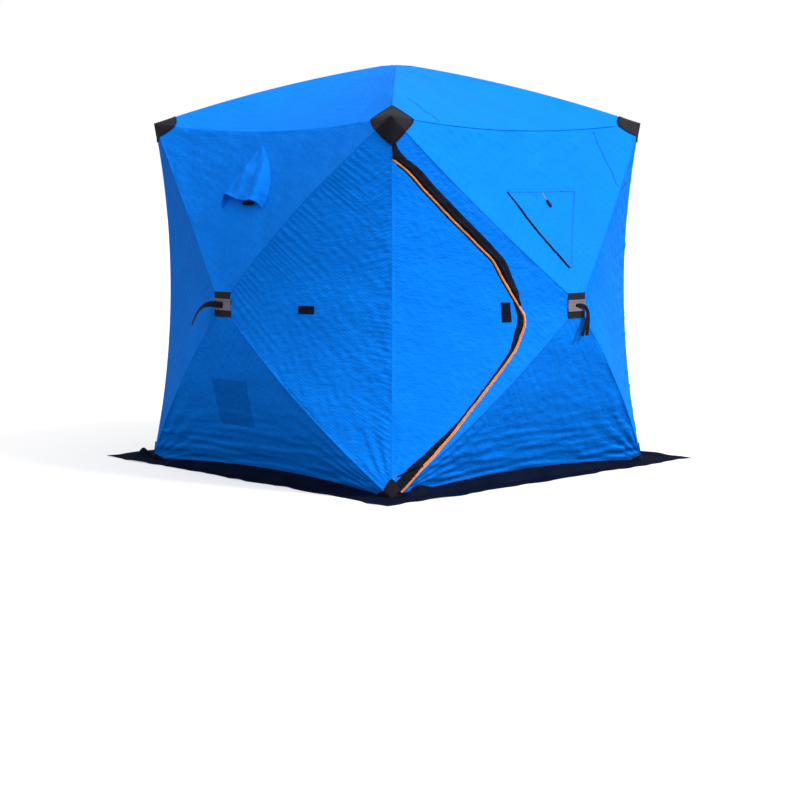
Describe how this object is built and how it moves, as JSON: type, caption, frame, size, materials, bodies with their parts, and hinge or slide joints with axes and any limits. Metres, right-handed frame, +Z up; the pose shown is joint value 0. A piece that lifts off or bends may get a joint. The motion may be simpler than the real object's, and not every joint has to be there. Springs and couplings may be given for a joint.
{
  "type": "ice fishing hut",
  "caption": "Pop-up ice fishing hut: square quilted fabric shelter on sprung hub poles, with a curved zipped door flap and a snow skirt",
  "frame": {"origin": "on the ground, under the middle of the hut", "axes": "+Z up; the door wall faces -Y; +X to the right as seen from outside the door"},
  "size_m": [2.4876, 2.4896, 2.027],
  "materials": {
    "blue_quilt": "quilted satin polyester",
    "black_fabric": "coated oxford cloth",
    "pole": "wrapped glass fibre",
    "orange_zip": "moulded zip teeth on orange tape",
    "grey_metal": "dull grey paint",
    "black_plastic": "moulded nylon"
  },
  "bodies": {
    "shell": {"front_top_panel": "blue_quilt", "front_bottom_panel": "blue_quilt", "front_right_panel": "blue_quilt", "right_top_panel": "blue_quilt", "right_bottom_panel": "blue_quilt", "right_left_panel": "blue_quilt", "right_right_panel": "blue_quilt", "back_top_panel": "blue_quilt", "back_bottom_panel": "blue_quilt", "back_left_panel": "blue_quilt", "back_right_panel": "blue_quilt", "left_top_panel": "blue_quilt", "left_bottom_panel": "blue_quilt", "left_left_panel": "blue_quilt", "left_right_panel": "blue_quilt", "roof_front_panel": "blue_quilt", "roof_right_panel": "blue_quilt", "roof_back_panel": "blue_quilt", "roof_left_panel": "blue_quilt", "door_upper_margin": "blue_quilt", "door_lower_margin": "blue_quilt", "door_edge_strip": "blue_quilt", "window_flap": "blue_quilt", "vent_hood": "blue_quilt", "storage_pocket": "blue_quilt", "front_skirt": "black_fabric", "right_skirt": "black_fabric", "back_skirt": "black_fabric", "left_skirt": "black_fabric", "hub_plates": "black_fabric", "top_pole_pockets": "black_fabric", "foot_pole_pockets": "black_fabric", "top_corner_caps": "black_fabric", "bottom_corner_caps": "black_fabric", "upper_zip_band": "black_fabric", "wall_velcro_patch": "black_fabric", "pull_straps": "black_fabric", "zip_line": "orange_zip", "hub_clips": "grey_metal", "wall_poles": "pole", "roof_poles": "pole", "wall_hubs": "black_plastic", "roof_hub": "black_plastic", "pole_ferrules": "black_plastic"},
    "door": {"door_flap": "blue_quilt", "lower_zip_band": "black_fabric", "door_velcro_patch": "black_fabric"}
  },
  "joints": [
    {"name": "door_hinge", "type": "hinge", "parent": "shell", "child": "door", "pos_m": [-0.8665, -0.9041, 0.103], "axis": [-0.0212, -0.0252, -0.9995], "range_deg": [0, 165]}
  ]
}
